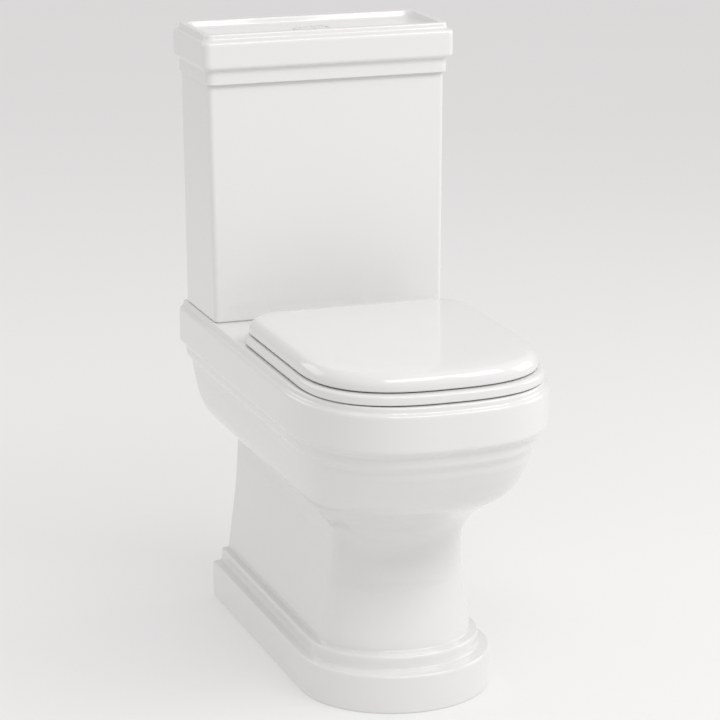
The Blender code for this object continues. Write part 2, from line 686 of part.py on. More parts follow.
def make_buttons():
    place = (0, from_wall(VALVE_BACK), 0)
    low = TRAY_Z + GAP
    bezel = [
        (SLEEVE_R + GAP, low), (BEZEL_R, low), (BEZEL_R, low + 0.001),
        (BEZEL_R - 0.0015, low + 0.0024), (SLEEVE_R + 0.001, low + 0.0024), (SLEEVE_R + GAP, low + 0.0018),
    ]
    rim = turned("button_bezel", bezel, place, seat_plastic("button_bezel"), 28)
    foot = SLEEVE_FOOT
    bore = BUTTON_R + 0.0005
    sleeve = [(bore, foot), (SLEEVE_R, foot), (SLEEVE_R, low + 0.0015), (bore, low + 0.0015)]
    body = turned("button_sleeve", sleeve, place, plastic("button_sleeve"), 24)
    floor_ring = [
        (0.0030, foot - 0.001), (0.0200, foot - 0.001), (0.0200, foot + 0.0015), (0.0030, foot + 0.0015),
    ]
    join(body, turned("sleeve_floor", floor_ring, place, None, 24))
    under = LID_UNDER - GAP
    nut = flat_sided_nut("button_nut", 8, 0.0285, SLEEVE_R + GAP, under - 0.006, under, place,
                         plastic("button_nut"))
    for side, label in ((-1, "half"), (1, "full")):
        name = label + "_flush_button"
        button = half_moon(name, side, BUTTON_TOP - 0.010, BUTTON_TOP, seat_plastic(name))
        rod_x = side * ROD_X
        rod = turned(label + "_button_rod", [(0.002, ROD_FOOT), (0.002, BUTTON_TOP - 0.005)],
                     (rod_x, from_wall(VALVE_BACK), 0), None, 10, closed=False)
        join(button, rod)
        drill(body, label + "_rod_hole", 0.0028, rod_x, VALVE_BACK, foot - 0.01, foot + 0.01, 10)
    return rim, body, nut


# ---------------------------------------------------------------- fill valve

def make_fill_valve():
    place = (FILL_X, from_wall(VALVE_BACK), 0)
    floor = CISTERN_FLOOR[1]
    riser = [
        (0.0065, 0.428), (0.010, 0.428), (0.010, floor + 0.0035), (0.017, floor + 0.0035),
        (0.017, floor + 0.0075), (0.009, floor + 0.0095), (0.009, RISER_TOP), (0.0065, RISER_TOP),
    ]
    turned("fill_valve_riser", riser, place, plastic("fill_valve_riser"), 16)
    low = floor + GAP
    washer = [(0.0103, low), (0.018, low), (0.018, low + 0.0029), (0.0103, low + 0.0029)]
    turned("fill_valve_washer", washer, place, rubber("fill_valve_washer"), 16)
    under = CISTERN_FLOOR[0] - GAP
    flat_sided_nut("fill_valve_backnut", 6, 0.0185, 0.0103, under - 0.009, under, place,
                   plastic("fill_valve_backnut"), 16)
    base = RISER_TOP + GAP
    head = turned("fill_valve_head", [(0.016, base), (0.017, base + 0.002), (0.017, base + 0.014),
                                      (0.012, base + 0.018)], place, plastic("fill_valve_head", GREY_PLASTIC),
                  16, closed=False)
    pivot_z = base + 0.028
    for i, offset in enumerate((-0.006, 0.006)):
        ear = block(f"head_ear_{i}", (-0.005, -0.0015, base + 0.012), (0.005, 0.0015, pivot_z + 0.005))
        ear.location.x += place[0]
        ear.location.y += place[1] + offset
        join(head, ear)
    pivot = (place[0], place[1], pivot_z)
    cutter = [(0.0019, -0.012), (0.0019, 0.012)]
    pin_hole = turned("ear_hole", cutter, pivot, None, 10, closed=False)
    pin_hole.data.transform(Matrix.Rotation(math.pi / 2, 4, "X"))
    cut(head, pin_hole)
    pin = turned("lever_pin", [(0.0016, -0.0095), (0.0016, 0.0095)], pivot, metal("lever_pin", STEEL, 0.3),
                 10, closed=False)
    pin.data.transform(Matrix.Rotation(math.pi / 2, 4, "X"))
    lever = block("float_lever", (-0.010, -0.004, -0.003), (0.036, 0.004, 0.003),
                  plastic("float_lever", GREY_PLASTIC))
    lever.data.transform(Matrix.Translation(lever.location))
    lever.location = pivot
    lever_bore = turned("lever_bore", cutter, pivot, None, 10, closed=False)
    lever_bore.data.transform(Matrix.Rotation(math.pi / 2, 4, "X"))
    cut(lever, lever_bore)
    cup_low, cup_high = CUP_Z
    cup = [
        (0.0115, cup_low), (0.0135, cup_low), (0.0135, cup_high - 0.003), (0.0245, cup_high - 0.003),
        (0.0245, cup_low), (0.0265, cup_low), (0.0265, cup_high - 0.002), (0.0245, cup_high),
        (0.0115, cup_high),
    ]
    float_cup = turned("float_cup", cup, place, plastic("float_cup"), 20)
    link = turned("float_link", [(0.002, cup_high - 0.020), (0.002, pivot_z - 0.0045)],
                  (place[0] + 0.030, place[1], 0), None, 10, closed=False)
    ear = block("cup_ear", (0.0225, -0.004, cup_high - 0.012), (0.0335, 0.004, cup_high - 0.006))
    ear.location.x += place[0]
    ear.location.y += place[1]
    join(float_cup, ear, link)


# ---------------------------------------------------------------- seat

def seat_outline(half, back, front, z, corner=0.040, steps=12):
    """A D in plan: round front, straight sides and a straight back with round corners."""
    side_end = front - 0.150
    points = []
    for i in range(5):
        turn = math.pi / 2 * i / 4
        points.append((half - corner + corner * math.sin(turn), back + corner - corner * math.cos(turn)))
    for i in range(steps + 1):
        turn = math.pi / 2 * i / steps
        x = half * math.cos(turn) ** (2 / FRONT_POWER) if i < steps else 0.0
        reach = side_end + (front - side_end) * math.sin(turn) ** (2 / FRONT_POWER)
        points.append((x, reach))
    left = [(-x, reach) for x, reach in reversed(points[:-1])]
    return [Vector((x, from_wall(reach), z)) for x, reach in points + left]


def knuckle(name, x, half_length, arm_low, arm_high, reach):
    """A hinge barrel on the seat's hinge axis, with an arm towards the seat."""
    barrel = turned_sideways(name, [(BARREL_R, -half_length), (BARREL_R, half_length)],
                             (x, from_wall(HINGE_BACK), HINGE_Z), None, 16)
    arm = block(name + "_arm", (x - half_length, from_wall(reach), arm_low),
                (x + half_length, from_wall(HINGE_BACK + 0.001), arm_high))
    return barrel, arm


def hinge_bore(name, x, half_length):
    return turned_sideways(name, [(PIN_BORE, -half_length), (PIN_BORE, half_length)],
                           (x, from_wall(HINGE_BACK), HINGE_Z), None, 16)


def make_seat_ring():
    low, high = RING_Z
    outside = [
        seat_outline(RING_HALF - 0.003, RING_BACK + 0.003, RING_FRONT - 0.003, low),
        seat_outline(RING_HALF, RING_BACK, RING_FRONT, low + 0.003),
        seat_outline(RING_HALF, RING_BACK, RING_FRONT, high - 0.003),
        seat_outline(RING_HALF - 0.004, RING_BACK + 0.004, RING_FRONT - 0.004, high),
    ]
    ring = finish_mesh("seat_ring", loft(outside), seat_plastic("seat_ring"))
    hole = [egg(0.108 + grow, 0.432, 0.140 + grow, z, 2.3, 28) for grow, z in (
        (0.004, low - 0.01), (0.004, low + 0.0005), (0.0, low + 0.004), (0.0, high - 0.004),
        (0.005, high + 0.0005), (0.005, high + 0.01))]
    cut(ring, finish_mesh("ring_hole", loft(hole), None))
    for side, label in ((-1, "left"), (1, "right")):
        x = side * (HINGE_X - KNUCKLE_STEP)
        reach = RING_BACK + 0.015
        join(ring, *knuckle("ring_knuckle_" + label, x, KNUCKLE_HALF, low + 0.003, high - 0.001, reach))
        cut(ring, hinge_bore("ring_bore_" + label, x, 0.02))
    return ring


def make_seat_cover():
    low, high = COVER_Z

    def outline(inset, z):
        return seat_outline(COVER_HALF - inset, COVER_BACK + inset * 0.6, COVER_FRONT - inset, z)

    outside = [outline(0.002, low), outline(0.0, low + 0.003), outline(0.0, low + 0.011),
               outline(0.002, low + 0.0165), outline(0.0065, high - 0.0035), outline(0.012, high - 0.0015),
               outline(0.030, high - 0.0004), outline(0.060, high)]
    cover = finish_mesh("seat_cover", loft(outside), seat_plastic("seat_cover"))
    hollow = [outline(0.006, low - 0.01), outline(0.006, low + 0.006), outline(0.012, high - COVER_THICK)]
    cut(cover, finish_mesh("cover_hollow", loft(hollow), None))
    for side, label in ((-1, "left"), (1, "right")):
        x = side * (HINGE_X + KNUCKLE_STEP)
        reach = COVER_BACK + 0.012
        join(cover, *knuckle("cover_knuckle_" + label, x, KNUCKLE_HALF, low + 0.0005, low + 0.006, reach))
        cut(cover, hinge_bore("cover_bore_" + label, x, 0.02))
    return cover


def make_hinge(side, label):
    """A metal post with its own stud through the shelf, a pin across it, a washer and a nut below."""
    x = side * HINGE_X
    y = from_wall(HINGE_BACK)
    base = SHELF_Z + GAP
    profile = [
        (0.0035, 0.405), (0.004, 0.407), (0.004, base), (0.0125, base), (0.0125, base + 0.0025),
        (0.008, base + 0.004), (0.007, HINGE_Z),
    ]
    look = metal("hinge_post_" + label, CHROME)
    post = turned("hinge_post_" + label, profile, (x, y, 0), look, 16, closed=False)
    round_eye = [(0.0078, -0.0082), (0.0078, 0.0082)]
    eye = turned_sideways("hinge_eye_" + label, round_eye, (x, y, HINGE_Z), None, 16)
    join(post, eye)
    cut(post, hinge_bore("eye_bore_" + label, x, 0.02))
    pin = [(PIN_R - 0.0004, -0.0262), (PIN_R, -0.0255), (PIN_R, 0.0255), (PIN_R - 0.0004, 0.0262)]
    turned_sideways("hinge_pin_" + label, pin, (x, y, HINGE_Z), metal("hinge_pin_" + label, STEEL, 0.25), 16)
    top = PLATE_Z - GAP
    bore = PIN_R + 0.0005
    washer = [(bore, top - 0.0025), (0.011, top - 0.0025), (0.011, top), (bore, top)]
    turned("hinge_washer_" + label, washer, (x, y, 0), rubber("hinge_washer_" + label), 16)
    nut_top = top - 0.0028
    nut = [(0.0043, nut_top - 0.014), (0.009, nut_top - 0.014), (0.011, nut_top), (0.0043, nut_top)]
    turned("hinge_nut_" + label, nut, (x, y, 0), plastic("hinge_nut_" + label), 16)


def buffer(name, x, back, radius, low, high):
    pad = [(radius - 0.001, low), (radius, low + 0.001), (radius, high)]
    return turned(name, pad, (x, from_wall(back), 0), rubber(name, BUFFER_GREY), 12, closed=False)


def make_ring_buffers():
    """Soft pads between the ring and the rim."""
    places = ((-0.128, 0.330), (0.128, 0.330), (-0.118, 0.545), (0.118, 0.545))
    return [buffer(f"ring_buffer_{i + 1}", x, back, 0.0065, SHELF_Z + GAP, RING_Z[0] - GAP)
            for i, (x, back) in enumerate(places)]


def make_cover_buffers():
    """Soft pads between the cover and the ring."""
    return [buffer("cover_buffer_" + label, side * 0.128, 0.500, 0.006, RING_Z[1] + GAP,
                   COVER_Z[1] - COVER_THICK - GAP)
            for side, label in ((-1, "left"), (1, "right"))]


def main():
    clear_scene()
    make_pan_body()
    make_pan_bowl()
    make_pan_trap()
    make_pan_inlet()
    make_cistern()
    lid = make_cistern_lid()
    make_gasket()
    make_coupling_bolt(-1, "left")
    make_coupling_bolt(1, "right")
    make_flush_valve()
    carry("lid_axis", (0, from_wall(VALVE_BACK), CISTERN_TOP), lid, *make_buttons())
    make_fill_valve()
    hinge_line = (0, from_wall(HINGE_BACK), HINGE_Z)
    carry("ring_axis", hinge_line, make_seat_ring(), *make_ring_buffers())
    carry("cover_axis", hinge_line, make_seat_cover(), *make_cover_buffers())
    make_hinge(-1, "left")
    make_hinge(1, "right")


main()
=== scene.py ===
"""Close coupled toilet: detailed china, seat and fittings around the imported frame."""

import json
import math

import bmesh
import bpy
import numpy as np
from mathutils import Matrix, Vector


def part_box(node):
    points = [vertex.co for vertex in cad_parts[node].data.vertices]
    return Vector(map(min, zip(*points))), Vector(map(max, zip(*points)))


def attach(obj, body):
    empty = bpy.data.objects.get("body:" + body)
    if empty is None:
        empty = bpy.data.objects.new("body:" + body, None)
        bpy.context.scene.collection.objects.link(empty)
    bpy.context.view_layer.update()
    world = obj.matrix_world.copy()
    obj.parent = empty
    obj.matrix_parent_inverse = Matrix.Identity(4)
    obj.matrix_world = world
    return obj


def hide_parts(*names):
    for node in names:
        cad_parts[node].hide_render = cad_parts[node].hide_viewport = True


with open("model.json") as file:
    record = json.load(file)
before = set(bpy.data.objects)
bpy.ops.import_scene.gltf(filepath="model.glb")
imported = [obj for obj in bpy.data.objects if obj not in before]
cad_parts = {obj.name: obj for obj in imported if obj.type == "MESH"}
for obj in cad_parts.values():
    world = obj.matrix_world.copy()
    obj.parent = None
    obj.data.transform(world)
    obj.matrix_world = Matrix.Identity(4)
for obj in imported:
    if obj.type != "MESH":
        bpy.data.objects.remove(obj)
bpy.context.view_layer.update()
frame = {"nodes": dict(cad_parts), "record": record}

# Metres. "Back", "front" and "reach" are distances from the wall.
WALL_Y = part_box("cistern_lid")[1].y        # the plane of the wall
SHELF_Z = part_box("cistern")[0].z - 0.0003  # top of the pan's shelf and rim
FRONT_POWER = 2.65                         # superellipse power of the rounded fronts
PAN_HALF = 0.178
PAN_SIDE_END = 0.450
PAN_FRONT = WALL_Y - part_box("pan_body")[0].y
PEDESTAL_POWER = 2.0
COVE_Z = 0.243                             # foot of the cove below the bowl's crease, at the wall
COVE_DROP = 0.085                          # how much it sinks for each metre from the wall
CREASE_Z = 0.247
CREASE_HALF = 0.098
SHAFT_HALF = 0.092                         # half width of the shaft where the cove starts
SHAFT_FRONT = 0.482
NECK_SIDE_END = 0.420                      # where the straight sides end, at the neck
BOWL_HALF = 0.158
NECK_HALF = 0.1393                         # the bowl's half width where its round front leaves the neck
RIM_HALF, RIM_MIDDLE, RIM_LENGTH = 0.134, 0.425, 0.170   # opening in the rim, half width and half length
BOWL_SHELL = 0.011                         # thickness of the bowl
WATERWAY_R = 0.041                         # radius of the trap's bore
TRAP_R = 0.051                             # and of its outside
INLET_R = 0.032
SUPPLY_R = 0.021
BOLT_HOLE_R = 0.0055
SHELF_CUT = (0.43, 0.47)                   # heights a drill runs through the shelf
FLOOR_CUT = (0.47, 0.50)                   # and through the cistern's floor
VALVE_BACK = 0.082
BOLT_X = 0.075
FILL_X = -0.118
CISTERN_BACK = 0.0084
INNER_BACK = 0.0184                        # back of the space inside the cistern
OUTLET_R, FILL_R = 0.0296, 0.0107          # holes in the cistern's floor
BUTTON_HOLE_R = 0.022
WALL_HOLE_X, WALL_HOLE_Z, WALL_HOLE_R = 0.110, 0.750, 0.0045
HINGE_X = 0.078
HINGE_BACK = 0.226
HINGE_Z = 0.473
KNUCKLE_STEP = 0.0175                      # from a hinge post to the knuckle beside it
KNUCKLE_HALF = 0.0085
BARREL_R, PIN_BORE_R = 0.0075, 0.0043
RING_Z = (0.4600, 0.4703)
RING_SKIRT_Z = 0.4573                      # lower edge of the ring's outer skirt, just clear of the rim
COVER_Z = (0.4712, 0.4960)
COVER_THICK = 0.0070
SEAT_POINTS = 176                          # points round a seat outline
SEAT_MIDDLE = 0.432                        # where the ring's outlines are read from
COVER_MIDDLE = 0.420
SIDE_STEPS = 24                            # points along an outline's straight side
FRONT_STEPS = 96                           # and round each half of its front


# ---------------------------------------------------------------- curves

def rounded_path(points, steps=5):
    """A path whose corners are smooth arcs. Each point is its coordinates, then how far its arc reaches."""
    places = [np.array(point[:-1], float) for point in points]
    path = [places[0]]
    for before, here, after, row in zip(places, places[1:], places[2:], points[1:]):
        reach = row[-1]
        if reach <= 0:
            path.append(here)
            continue
        start = here + (before - here) * min(reach / np.linalg.norm(before - here), 0.5)
        end = here + (after - here) * min(reach / np.linalg.norm(after - here), 0.5)
        for t in np.linspace(0, 1, steps + 1):
            path.append((1 - t) ** 2 * start + 2 * t * (1 - t) * here + t * t * end)
    path.append(places[-1])
    return path


def evenly(points, steps):
    """An open polyline's points, spaced evenly along it."""
    lengths = np.concatenate([[0], np.cumsum(np.linalg.norm(np.diff(points, axis=0), axis=1))])
    places = np.linspace(0, lengths[-1], steps + 1)
    return np.stack([np.interp(places, lengths, points[:, i]) for i in range(points.shape[1])], axis=1)


def front_curve(half, side_end, front, power, steps=FRONT_STEPS):
    turn = np.linspace(0, math.pi / 2, 500)
    x = half * np.clip(np.cos(turn), 0, 1) ** (2 / power)
    reach = side_end + (front - side_end) * np.sin(turn) ** (2 / power)
    return evenly(np.stack([x, reach], axis=1), steps)


def dee(half, side_end, front, z, power=FRONT_POWER, back=0.0, drop=0.0):
    """Straight sides out from the wall, then a rounded front. It sinks by drop for each metre out."""
    run = np.linspace(back, side_end, SIDE_STEPS, endpoint=False)
    side = np.stack([np.full(SIDE_STEPS, half), run], axis=1)
    plan = np.concatenate([side, front_curve(half, side_end, front, power)])
    plan[-1, 0] = 0.0
    plan = np.concatenate([plan, plan[-2::-1] * (-1, 1)])
    return np.stack([plan[:, 0], WALL_Y - plan[:, 1], z - drop * np.maximum(plan[:, 1], 0)], axis=1)


def seat_outline(half, back, front, corner=0.040):
    """A closed D in plan: round front, straight sides and a straight back with round corners."""
    turn = np.linspace(0, math.pi / 2, 30)
    rear = np.stack([half - corner + corner * np.sin(turn), back + corner - corner * np.cos(turn)], axis=1)
    plan = np.concatenate([[[0.0, back]], rear, front_curve(half, front - 0.150, front, FRONT_POWER, 120)])
    plan[-1, 0] = 0.0
    return np.concatenate([plan, plan[-2:0:-1] * (-1, 1)])


def egg(half, middle, half_length, power=2.2):
    turn = np.linspace(0, math.tau, 600, endpoint=False)
    c, s = np.cos(turn), np.sin(turn)
    x = half * np.sign(c) * np.abs(c) ** (2 / power)
    reach = middle + half_length * np.sign(s) * np.abs(s) ** (2 / power)
    return np.stack([x, reach], axis=1)


def by_angle(plan, middle, count):
    """A closed plan outline read at equal angles about a point on the middle line."""
    offset = evenly(np.concatenate([plan, plan[:1]]), 3000)[:-1] - (0.0, middle)
    angle = np.arctan2(offset[:, 1], offset[:, 0])
    order = np.argsort(angle)
    radius = np.linalg.norm(offset, axis=1)[order]
    angle = angle[order]
    wanted = np.linspace(-math.pi, math.pi, count, endpoint=False)
    found = np.interp(wanted, angle, radius, period=math.tau)
    return np.stack([found * np.cos(wanted), middle + found * np.sin(wanted)], axis=1)


def level(plan, z):
    """A plan outline, given as distance from the wall, put at a height."""
    return np.stack([plan[:, 0], WALL_Y - plan[:, 1], np.full(len(plan), z)], axis=1)


def rounded_rectangle(half, back, front, z, radius, steps=8):
    points = []
    corners = ((half, back, 0), (half, front, 1), (-half, front, 2), (-half, back, 3))
    for x, reach, quarter in corners:
        centre_x = x - math.copysign(radius, x)
        centre_y = WALL_Y - (reach + (radius if reach == back else -radius))
        for i in range(steps + 1):
            turn = math.pi / 2 - math.pi / 2 * (quarter + i / steps)
            points.append((centre_x + radius * math.cos(turn), centre_y + radius * math.sin(turn), z))
    return np.array(points)


def circle(radius, z, sides):
    turn = np.linspace(0, math.tau, sides, endpoint=False)
    return np.stack([radius * np.cos(turn), radius * np.sin(turn), np.full(sides, z)], axis=1)


# ---------------------------------------------------------------- meshes

def skin(name, rings, closed=False):
    """A body over rings with the same number of points, capped at both ends or closed on itself."""
    count = len(rings[0])
    points = np.concatenate(rings)
    rows = len(rings)
    faces = []
    for row in range(rows if closed else rows - 1):
        low, high = row * count, ((row + 1) % rows) * count
        faces += [(low + i, low + (i + 1) % count, high + (i + 1) % count, high + i) for i in range(count)]
    if not closed:
        faces.append(tuple(range(count)))
        faces.append(tuple(range((rows - 1) * count, rows * count)))
    mesh = bpy.data.meshes.new(name)
    mesh.from_pydata([tuple(p) for p in points], [], faces)
    body = bmesh.new()
    body.from_mesh(mesh)
    bmesh.ops.remove_doubles(body, verts=body.verts, dist=1e-7)
    bmesh.ops.recalc_face_normals(body, faces=body.faces)
    body.to_mesh(mesh)
    body.free()
    made = bpy.data.objects.new(name, mesh)
    bpy.context.scene.collection.objects.link(made)
    return made


def lathe(name, profile, place, sides, along="Z"):
    """A turned solid with flat ends."""
    made = skin(name, [circle(r, z, sides) for r, z in profile])
    if along == "X":
        made.data.transform(Matrix.Rotation(math.pi / 2, 4, "Y"))
    if along == "Y":
        made.data.transform(Matrix.Rotation(math.pi / 2, 4, "X"))
    made.data.transform(Matrix.Translation(place))
    return made


def slab(name, low, high, bevel=0.0):
    """A box between two corners with rounded edges."""
    body = bmesh.new()
    bmesh.ops.create_cube(body, size=1.0)
    low, high = Vector(low), Vector(high)
    for vert in body.verts:
        vert.co = Vector(a * (h - l) + (h + l) / 2 for a, l, h in zip(vert.co, low, high))
    if bevel > 0:
        bmesh.ops.bevel(body, geom=body.edges[:], offset=bevel, segments=4, profile=0.5, affect="EDGES")
    mesh = bpy.data.meshes.new(name)
    body.to_mesh(mesh)
    body.free()
    made = bpy.data.objects.new(name, mesh)
    bpy.context.scene.collection.objects.link(made)
    return made


def carve(target, steps):
    """Booleans on the target, one after another, then its final mesh. The helpers are removed."""
    for operation, helper in steps:
        step = target.modifiers.new(operation + helper.name, "BOOLEAN")
        step.operation = operation
        step.object = helper
        step.solver = "EXACT"
    freeze(target)
    for _, helper in steps:
        bpy.data.objects.remove(helper, do_unlink=True)
    return target


def freeze(target):
    """Replaces an object's mesh with what its modifiers make of it."""
    bpy.context.view_layer.update()
    graph = bpy.context.evaluated_depsgraph_get()
    mesh = bpy.data.meshes.new_from_object(target.evaluated_get(graph))
    target.modifiers.clear()
    target.data = mesh
    return target


def smooth(target, degrees=32.0):
    """Smooth shading with hard edges kept, and flat faces that stay flat to the eye."""
    target.data.shade_smooth()
    target.data.set_sharp_from_angle(angle=math.radians(degrees))
    weigh = target.modifiers.new("even_normals", "WEIGHTED_NORMAL")
    weigh.keep_sharp = True
    weigh.weight = 100
    return freeze(target)


def cuts(*helpers):
    return [("DIFFERENCE", helper) for helper in helpers]


def joins(*helpers):
    return [("UNION", helper) for helper in helpers]


def hole(name, radius, x, back, low, high, sides=40):
    return lathe(name, [(radius, low), (radius, high)], (x, WALL_Y - back, 0), sides)


# ---------------------------------------------------------------- pan

def smoothstep(t):
    t = np.clip(t, 0, 1)
    return t * t * (3 - 2 * t)


def spread(rows, steps):
    """Rows of numbers joined by a smooth curve."""
    rows = np.array(rows, float)
    padded = np.concatenate([[2 * rows[0] - rows[1]], rows, [2 * rows[-1] - rows[-2]]])
    made = []
    for a, b, c, d in zip(padded, padded[1:], padded[2:], padded[3:]):
        for t in np.arange(steps) / steps:
            made.append(0.5 * (2 * b + (c - a) * t + (2 * a - 5 * b + 4 * c - d) * t ** 2
                               + (3 * b - a - 3 * c + d) * t ** 3))
    made.append(rows[-1])
    return made


# Half width and height down the bowl's side, to the crease.
BOWL_SIDE = spread(((BOWL_HALF, 0.352), (0.1538, 0.330), (0.1478, 0.308), (0.1392, 0.290), (0.127, 0.2735),
                    (0.113, 0.2600), (CREASE_HALF, CREASE_Z)), 5)


def bowl_dee(half, front, z, drop=0.0):
    """The bowl's plan outline, whose front gets squarer as the bowl widens."""
    share = max(half - CREASE_HALF, 0) / (BOWL_HALF - CREASE_HALF)
    return dee(half, NECK_SIDE_END + 0.030 * share, front, z, 2.1 + 0.55 * share ** 2, drop=drop)


def front_of_bowl(half):
    """How far the bowl's front reaches where its half width is half."""
    return 0.506 + 0.125 * ((half - CREASE_HALF) / (BOWL_HALF - CREASE_HALF)) ** 1.4


def pedestal_rings():
    """From the floor up to just below the neck: plinth, tier and tapering shaft."""
    path = rounded_path([
        (0.1310, 0.5405, 0.0, 0), (0.1325, 0.5420, 0.0015, 0.001), (0.1325, 0.5420, 0.0530, 0.0045),
        (0.1205, 0.5200, 0.0538, 0.0028), (0.1190, 0.5180, 0.0600, 0.002), (0.1190, 0.5180, 0.0722, 0.0045),
        (0.1085, 0.5025, 0.0732, 0.0035), (0.1070, 0.5000, 0.0840, 0.004), (0.0960, 0.4870, 0.1700, 0.012),
        (0.0945, 0.4850, 0.1960, 0)])
    rings = []
    for half, front, z in path:
        end = np.interp(z, (0.05, 0.06, 0.17, 0.237), (0.415, 0.410, 0.418, 0.420))
        drop = np.interp(z, (0.150, COVE_Z), (0.0, COVE_DROP))
        rings.append(dee(half, end, front, z, PEDESTAL_POWER, drop=drop))
    return rings


def neck_rings():
    """A sharp crease above a cove along the sides, which melts into one smooth curve round the front."""
    side = [(0.0932, 0.4835, 0.2180, 0.062, 0), (0.0922, 0.4822, 0.2330, 0.076, 0)]
    for turn in np.linspace(0, math.pi / 2, 9):
        out = 1 - math.cos(turn)
        half = SHAFT_HALF + (CREASE_HALF - SHAFT_HALF) * out
        z = COVE_Z + (CREASE_Z - COVE_Z) * math.sin(turn)
        side.append((half, SHAFT_FRONT + 0.026 * out, z, COVE_DROP * (1 - math.sin(turn)),
                     0.0035 if turn > 1.5 else 0))
    low_bowl = [(half, z) for half, z in BOWL_SIDE if half <= NECK_HALF]
    for half, z in low_bowl[::-1][1:]:
        side.append((half, front_of_bowl(half), z, 0.0, 0))
    side = rounded_path(side)
    start, lift, pull, end = (np.array(p) for p in (
        (0.0940, 0.4842, 0.1920), (0.0925, 0.4826, 0.2400),
        (0.1190, 0.5360, 0.2640), (0.1392, 0.5790, 0.2900)))
    rings = []
    from_side = np.arange(SIDE_STEPS + FRONT_STEPS + 1) - SIDE_STEPS + 9
    weight = smoothstep(from_side / (0.50 * FRONT_STEPS))
    weight = np.concatenate([weight, weight[-2::-1]])[:, None]
    for i, (half, front, z, drop) in enumerate(side):
        t = (i + 1) / len(side)
        swept = (1 - t) ** 3 * start + 3 * t * (1 - t) ** 2 * lift + 3 * t * t * (1 - t) * pull + t ** 3 * end
        sharp = bowl_dee(half, front, z, drop)
        soft = bowl_dee(*swept)
        rings.append(sharp * (1 - weight) + soft * weight)
    return rings


def bowl_rings():
    """The round underside of the bowl, from the neck up to the mouldings."""
    rings = []
    for half, z in reversed([pair for pair in BOWL_SIDE if pair[0] > NECK_HALF]):
        rings.append(bowl_dee(half, front_of_bowl(half), z))
    return rings


def band_rings():
    """Mouldings below the band, the band and the step up to the rim. The path is inset, height, arc."""
    path = rounded_path([
        (0.0195, 0.3560, 0), (0.0172, 0.3668, 0.005), (0.0108, 0.3735, 0.0035), (0.0088, 0.3885, 0.0045),
        (0.0012, 0.3950, 0.0035), (0.0, 0.3990, 0.002), (0.0, 0.4455, 0.0045), (0.0052, 0.4484, 0.0024),
        (0.0066, SHELF_Z, 0.0028), (0.0125, SHELF_Z, 0)], 7)
    return [dee(PAN_HALF - inset, PAN_SIDE_END, PAN_FRONT - inset, z) for inset, z in path]


def bowl_rows(grow):
    """Half width, middle, half length and height down the bowl, made bigger all round by grow."""
    rows = (
        (0.142, 0.425, 0.178, SHELF_Z - 0.034), (0.140, 0.425, 0.176, 0.385), (0.126, 0.422, 0.160, 0.335),
        (0.104, 0.408, 0.138, 0.295), (0.076, 0.388, 0.106, 0.255), (0.057, 0.366, 0.078, 0.220),
        (0.047, 0.346, 0.055, 0.180), (0.036, 0.338, 0.038, 0.150),
    )
    floor = rows[-1][3]
    return [(half + grow, middle, length + grow, z - (grow if z == floor else 0))
            for half, middle, length, z in rows]


def bowl_solid(name, grow):
    """The bowl's cavity with its narrower rim on top, or the shell around it."""
    rows = list(reversed(spread(bowl_rows(grow), 5)))
    if grow:
        rows.append((*bowl_rows(grow)[0][:3], SHELF_Z - 0.008))
        count = 72
    else:
        rows += rounded_path([
            (RIM_HALF + grown, RIM_MIDDLE, RIM_LENGTH + grown, SHELF_Z + z, arc) for grown, z, arc in (
                (0.0075, -0.031, 0), (0.0030, -0.028, 0.003), (0.0, -0.024, 0.003), (0.0, -0.001, 0.0045),
                (0.0055, 0.0004, 0.001), (0.0060, 0.01, 0))], 7)
        count = 128
    rings = []
    for half, middle, length, z in rows:
        plan = egg(half, middle, length)
        rings.append(level(evenly(np.concatenate([plan, plan[:1]]), count)[:-1], z))
    return skin(name, rings)


def trap_solid(name, radius, start_back, end_back, sides=40):
    """A round tube along the trap's way: sump, up over the weir, down to the outlet."""
    route = np.array(spread((
        (start_back, 0.192), (0.300, 0.170), (0.262, 0.176), (0.228, 0.214), (0.192, 0.226),
        (0.156, 0.206), (0.124, 0.184), (0.090, 0.180), (end_back, 0.180)), 4))
    ahead = np.gradient(route, axis=0)
    rings = []
    turn = np.linspace(0, math.tau, sides, endpoint=False)
    for (back, z), (run, rise) in zip(route, ahead):
        upright = np.array((0, rise, run)) / math.hypot(run, rise)
        rings.append(np.array((0, WALL_Y - back, z)) + radius * (
            np.cos(turn)[:, None] * (1, 0, 0) + np.sin(turn)[:, None] * upright))
    return skin(name, rings)


